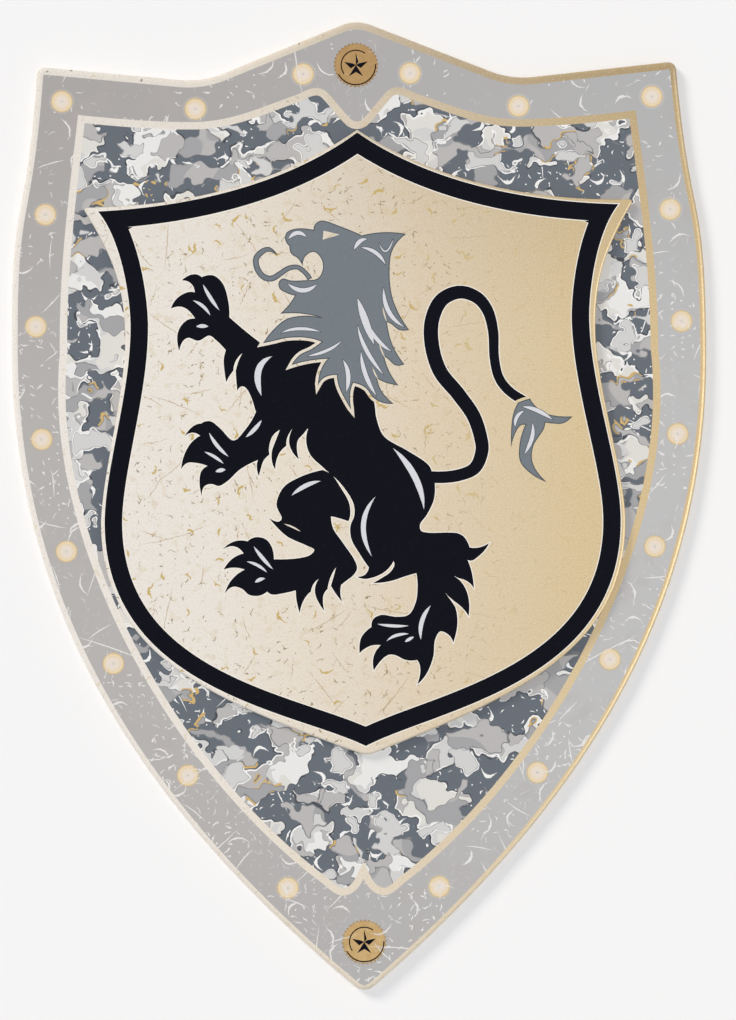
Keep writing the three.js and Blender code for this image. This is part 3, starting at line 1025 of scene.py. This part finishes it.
# Slits: start, bend and end, and the width in the middle
PALE_SLITS = [
    ((-77, 110.5), (-73.5, 104), (-69, 97.5), 1.8), ((-82, 102.5), (-77, 99.5), (-73.5, 95), 1.6),
    ((-80.5, 89.5), (-77.5, 89.8), (-74.5, 89.5), 1.9), ((-43, 74.5), (-49.5, 68.5), (-48.5, 55), 3.2),
    ((-48.5, 43), (-52, 38.5), (-56.5, 34.5), 2), ((-74.5, 37), (-71, 31), (-65, 25), 1.8),
    ((-77, 27.5), (-72, 25), (-67.5, 21.5), 1.5), ((-71.5, 17.5), (-69, 18.3), (-66.5, 18.5), 2),
    ((-19.5, 12.5), (-26.5, 10.5), (-34, 5.5), 2.2), ((7.5, 4.5), (1.5, -9), (5.5, -25), 2.5),
    ((16.5, 28.5), (27.5, 13.5), (31.5, -2), 3.2), ((-53, -19.5), (-48.5, -25.5), (-43.5, -31), 1.8),
    ((-56.5, -27), (-51, -29), (-46.5, -32.5), 1.5), ((-52.5, -37.5), (-50, -36), (-47.5, -35.5), 1.8),
    ((8, -58.5), (15.5, -59.5), (23.5, -59.5), 1.5), ((12.5, -67), (16.5, -64.5), (23.5, -63.5), 1.5),
    ((21.5, -67.5), (24, -66), (26, -65), 1.6), ((34.5, -49.5), (30, -57.5), (29.5, -66.5), 2.2),
]
HEAD_SLITS = [
    ((-34.5, 132.5), (-30, 135.5), (-25.5, 133.5), 2), ((-2, 127), (1.5, 131.5), (4.5, 132), 2),
    ((1.5, 128), (8.5, 125.5), (13.5, 119.5), 1.8), ((10.5, 130), (13.5, 126), (17.5, 132), 0.7),
    ((-35, 110.5), (-27.5, 107), (-20.5, 110), 2.2), ((-38.5, 86), (-30.5, 88), (-19, 86.5), 1.5),
    ((-25.5, 74.5), (-15, 77.5), (-8.5, 82), 1.5), ((-8, 72.5), (-5.5, 65.5), (-6.5, 56.5), 2.2),
    ((12.5, 108), (15, 96), (22.5, 88.5), 2.2), ((-0.5, 103), (4, 89.5), (7.5, 80), 3.5),
    ((4, 91), (9, 82.5), (16, 76.5), 2), ((-0.5, 89.5), (3, 78.5), (12, 65), 2),
    ((1, 76.5), (3, 65.5), (8.5, 54.5), 2.2), ((80.5, 48.5), (87, 47), (95.5, 42), 2),
    ((81.5, 46.5), (78, 43.5), (77, 38.5), 1.7), ((85.5, 40.5), (85.5, 34), (81.5, 25), 2),
]
BARE_GAPS = [
    ((-29.5, -12.5), (-34, -10), (-38, -8.5), 0.8), ((12, 98.5), (12.8, 94.5), (14, 91), 0.7),
    ((10, 81), (11.2, 77), (13, 73), 0.7), ((6.5, 69), (7.8, 65.6), (9.5, 62.5), 0.7),
]
SLIT_SWELL = (0.62, 0.94, 1, 0.94, 0.62)  # widths along a slit, as shares of its middle's
SLIT_TIP = 0.02
EYE = [(-17, 136.5), (-9, 134.5), (-17.5, 132)]
INK_EDGE = 0.5
SLIT_EDGE = 0.3
BARE_EDGE = 1.4


def smooth(points, step=LION_STEP):
    """A smooth curve through points: cubic pieces whose slope at a point is that of the parabola
    through it and its two neighbours, with the square root of each distance as the parameter."""
    knots = flat_points(points)
    if len(knots) == 2:
        return np.linspace(knots[0], knots[1], 2 + int(abs(knots[1] - knots[0]) / step))
    gap = np.sqrt(abs(np.diff(knots)))
    rise = np.diff(knots) / gap
    inner = (rise[:-1] * gap[1:] + rise[1:] * gap[:-1]) / (gap[:-1] + gap[1:])
    slope = np.concatenate([[2 * rise[0] - inner[0]], inner, [2 * rise[-1] - inner[-1]]])
    leaving = knots[:-1] + slope[:-1] * gap / 3
    coming = knots[1:] - slope[1:] * gap / 3
    return chained(knots[0], list(zip(leaving, coming, knots[1:])), step)


def drawn(rows):
    """A closed contour of smooth runs that meet in the rows' first points."""
    ends = [row[0] for row in rows[1:]] + [rows[0][0]]
    return anticlockwise(joined(*[smooth(row + [end]) for row, end in zip(rows, ends)])[:-1])


def brush(points, widths):
    """A stroke along a smooth curve: its width is read off a list spread evenly along it."""
    line = smooth(points, BRUSH_STEP)
    length = np.append(0, np.cumsum(abs(np.diff(line))))
    half = np.interp(length / length[-1], np.linspace(0, 1, len(widths)), widths) / 2
    ahead = np.gradient(line)
    normal = 1j * ahead / abs(ahead)
    return anticlockwise(joined(line + half * normal, (line - half * normal)[::-1]))


def slit(start, bend, end, width):
    """A stroke that is widest in its middle and pointed at both ends."""
    swell = [share * width for share in SLIT_SWELL]
    return brush([start, bend, end], [SLIT_TIP, *swell, SLIT_TIP])


black_shapes = [drawn(rows) for rows in (UPPER_FORELEG, LOWER_FORELEG, TRUNK, RAISED_LEG)]
black_shapes.append(brush(TAIL, TAIL_WIDTHS))
plate_coats += [(inset(shape, -HALO), "halo") for shape in black_shapes]
plate_coats += [(shape, "black") for shape in black_shapes]
slate_shapes = [brush(TONGUE, TONGUE_WIDTHS), drawn(HEAD), drawn(TUFT)]
plate_coats += [(inset(shape, -BARE_EDGE), "foil") for shape in slate_shapes[1:]]
plate_coats += [(shape, "outline") for shape in slate_shapes]
plate_coats += [(inset(shape, INK_EDGE), "slate") for shape in slate_shapes]
plate_coats += [(slit(*marks), "pale") for marks in PALE_SLITS]
plate_coats += [(inset(slit(*marks), -SLIT_EDGE), "outline") for marks in HEAD_SLITS]
plate_coats += [(slit(*marks), "pale") for marks in HEAD_SLITS]
plate_coats += [(slit(*marks), "foil") for marks in BARE_GAPS]
plate_coats.append((anticlockwise(flat_points(EYE)), "foil"))

# The inner plate itself
# The foiled and printed plate. Only its front edge is rounded over, and it meets the board with a
# square edge, where the glue holds it.
PLAIN_INKS = {  # two colours and the roughness
    "halo": ((243, 238, 228), (234, 226, 212), 0.4),
    "slate": ((113, 121, 128), (122, 129, 135), 0.42),
    "outline": ((70, 78, 84), (82, 88, 93), 0.42),
    "pale": ((217, 218, 223), (208, 209, 215), 0.42),
}


def plain_ink(name, tone, grain_tone, roughness):
    """An ink with a fine grain of a second colour."""
    finish = Finish(f"{name}_print")
    grain = finish.blend(finish.noise(1.2, detail=3), 0.45, 0.75)
    mixed = finish.mix(grain * 0.5, colour(*tone), colour(*grain_tone))
    return finish.surface(Base_Color=mixed, Roughness=roughness)


plate_inks = {"foil": foil_finish("marked_foil", 1.0), "black": board_inks["black"]}
for name, looks in PLAIN_INKS.items():
    plate_inks[name] = plain_ink(name, *looks)
plate_profile = np.vstack([
    [0, BOARD_THICKNESS],
    rounded_profile(PLATE_THICKNESS, 0, PLATE_ROUND, BOARD_THICKNESS)[ARC_STEPS:],
])
plate = sheet_piece(
    "inner_plate_printed", plate_edge, plate_profile, plate_coats, plate_inks, "foil", "foil"
)
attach(plate, "root")
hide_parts("inner_plate")

# The floor, the lights and the camera
# A pale floor under the shield and soft light from all round. A broad lamp is straight above, a
# warm one throws the shadow from the upper left, and one on the right only makes the rounded edges
# shine. A long lens looks straight down.
FRAME_WIDTH, FRAME_HEIGHT = 736, 1020  # pixels
SHIELD_HEIGHT = 968  # pixels
PIXEL = (BOARD_TOP - BOARD_TIP) / SHIELD_HEIGHT  # millimetres of the board's front
SHIELD_MIDDLE = (360.3, 506.0)  # pixels
SHIELD_TURN = 0.49  # degrees anticlockwise in the picture
CAMERA_HEIGHT = 3000.0
SENSOR = 36.0
FLOOR_HALF = 3.0  # metres
FLOOR_WHITE = colour(244, 244, 244)
COOL = (0.945, 0.962, 1)
WARM = (1, 0.91, 0.79)
GOLDEN = (1, 0.95, 0.8)
AMBIENT = 0.38


def floor_piece():
    """A square floor at the height of zero."""
    mesh = bpy.data.meshes.new("floor")
    corners = [(x * FLOOR_HALF, y * FLOOR_HALF, 0) for x, y in ((-1, -1), (1, -1), (1, 1), (-1, 1))]
    mesh.from_pydata(corners, [], [(0, 1, 2, 3)])
    mesh.materials.append(Finish("floor_white").surface(Base_Color=FLOOR_WHITE, Roughness=0.9))
    return linked("floor", mesh)


def lamp(name, energy, place, spread, tint):
    """A sun lamp that shines from a place to the middle, as wide as its spread in degrees."""
    light = bpy.data.lights.new(name, "SUN")
    light.energy = energy
    light.angle = math.radians(spread)
    light.color = tint
    stand = linked(name, light)
    stand.location = place
    stand.rotation_euler = (Vector() - Vector(place)).to_track_quat("-Z", "Y").to_euler()
    return stand


floor_piece()
overhead = lamp("overhead", 1.36, (0, 0, 3), 12, COOL)
key = lamp("key", 1.5, (-1.0, 0.95, 0.85), 20, WARM)
rim = lamp("rim", 3.8, (3.0, -0.7, 1.8), 40, GOLDEN)
overhead.visible_glossy = False
key.visible_glossy = False
rim.visible_diffuse = False
world = bpy.data.worlds.new("studio")
world.use_nodes = True
background = world.node_tree.nodes["Background"]
background.inputs["Color"].default_value = (*COOL, 1)
background.inputs["Strength"].default_value = AMBIENT
bpy.context.scene.world = world
bpy.context.scene.view_settings.view_transform = "Standard"

lens = bpy.data.cameras.new("camera")
lens.sensor_width = SENSOR
lens.lens = SENSOR * CAMERA_HEIGHT / (FRAME_HEIGHT * PIXEL)
lens.clip_end = 100
camera = linked("camera", lens)
offset = complex(FRAME_WIDTH / 2 - SHIELD_MIDDLE[0], SHIELD_MIDDLE[1] - FRAME_HEIGHT / 2) * PIXEL
offset *= np.exp(-1j * math.radians(SHIELD_TURN))
camera.location = (offset.real / METRE, offset.imag / METRE, (CAMERA_HEIGHT + BOARD_THICKNESS) / METRE)
camera.rotation_euler = (0, 0, -math.radians(SHIELD_TURN))
bpy.context.scene.camera = camera
